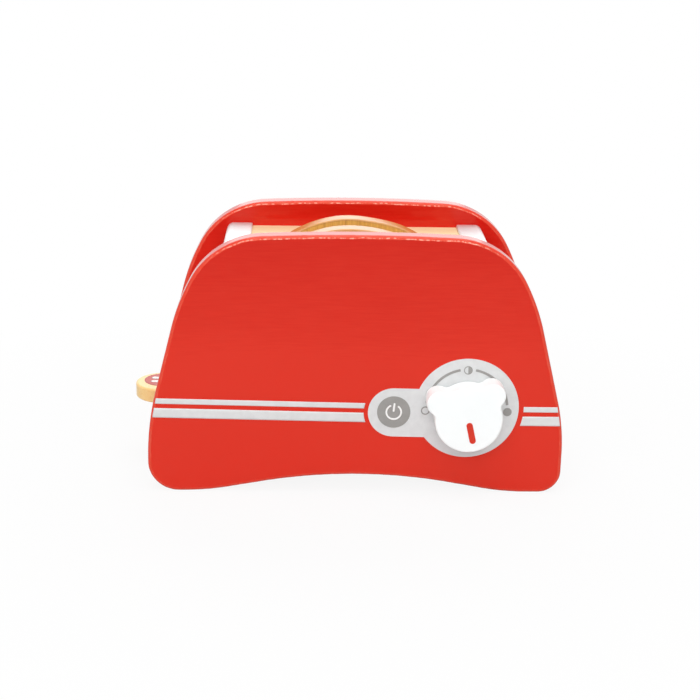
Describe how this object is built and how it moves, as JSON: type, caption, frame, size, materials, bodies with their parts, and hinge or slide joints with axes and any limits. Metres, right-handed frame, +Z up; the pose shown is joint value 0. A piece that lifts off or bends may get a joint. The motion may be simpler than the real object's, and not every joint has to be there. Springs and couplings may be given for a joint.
{
  "type": "toy toaster",
  "caption": "Free-standing wooden play toaster with curved side panels, bread slots holding loose wooden slices, a side lever that lifts them and a turning front knob.",
  "frame": {"origin": "on the floor, under the middle of the whole toaster, lever and knob counted: the middle of the housing itself lies 5.6 mm to the right of it and 6.9 mm behind it", "axes": "+X to the right seen from the front, +Y from the front panel to the rear panel, +Z up"},
  "size_m": [0.251, 0.1158, 0.153],
  "materials": {
    "red_lacquer": "wood with a smooth glossy red lacquer",
    "white_paint": "wood with smooth satin white paint",
    "natural_wood": "pale natural wood, clear matt varnish",
    "plywood": "thin birch plywood, unpainted",
    "dowel_wood": "plain beech dowel",
    "toasted_wood": "wood stained golden brown with a darker rim",
    "silver_print": "pale silver printed film",
    "grey_print": "mid-grey print",
    "white_print": "white print",
    "red_print": "red print",
    "screw_steel": "zinc-plated steel"
  },
  "bodies": {
    "housing": {"front_panel": "red_lacquer", "rear_panel": "red_lacquer", "left_end_wall": "white_paint", "right_end_wall": "white_paint", "slot_deck": "natural_wood", "bottom_board": "plywood", "panel_dowels": "dowel_wood", "deck_dowels": "dowel_wood", "bottom_screws": "screw_steel", "guide_rods": "dowel_wood", "control_print": "silver_print", "power_button_print": "grey_print", "power_symbol_print": "white_print", "dial_scale_print": "grey_print", "left_stripe_prints": "silver_print", "right_stripe_prints": "silver_print"},
    "lift": {"lift_board": "natural_wood", "lever_handle": "natural_wood", "lever_screws": "screw_steel", "lever_badge": "red_print", "lever_badge_bars": "white_print"},
    "front_slice": {"front_bread_slice": "toasted_wood"},
    "rear_slice": {"rear_bread_slice": "toasted_wood"},
    "dial": {"knob": "white_paint", "knob_pointer": "red_print", "knob_axle": "dowel_wood", "knob_washer": "screw_steel", "knob_screw": "screw_steel"}
  },
  "joints": [
    {"name": "lift_slide", "type": "slide", "parent": "housing", "child": "lift", "axis": [0, 0, 1], "range_m": [0, 0.045]},
    {"name": "front_slice_slide", "type": "slide", "parent": "lift", "child": "front_slice", "axis": [0, 0, 1], "range_m": [0, 0.1]},
    {"name": "rear_slice_slide", "type": "slide", "parent": "lift", "child": "rear_slice", "axis": [0, 0, 1], "range_m": [0, 0.1]},
    {"name": "knob_turn", "type": "hinge", "parent": "housing", "child": "dial", "pos_m": [0.0687, -0.05078, 0.0525], "axis": [0, -1, 0], "continuous": true}
  ]
}
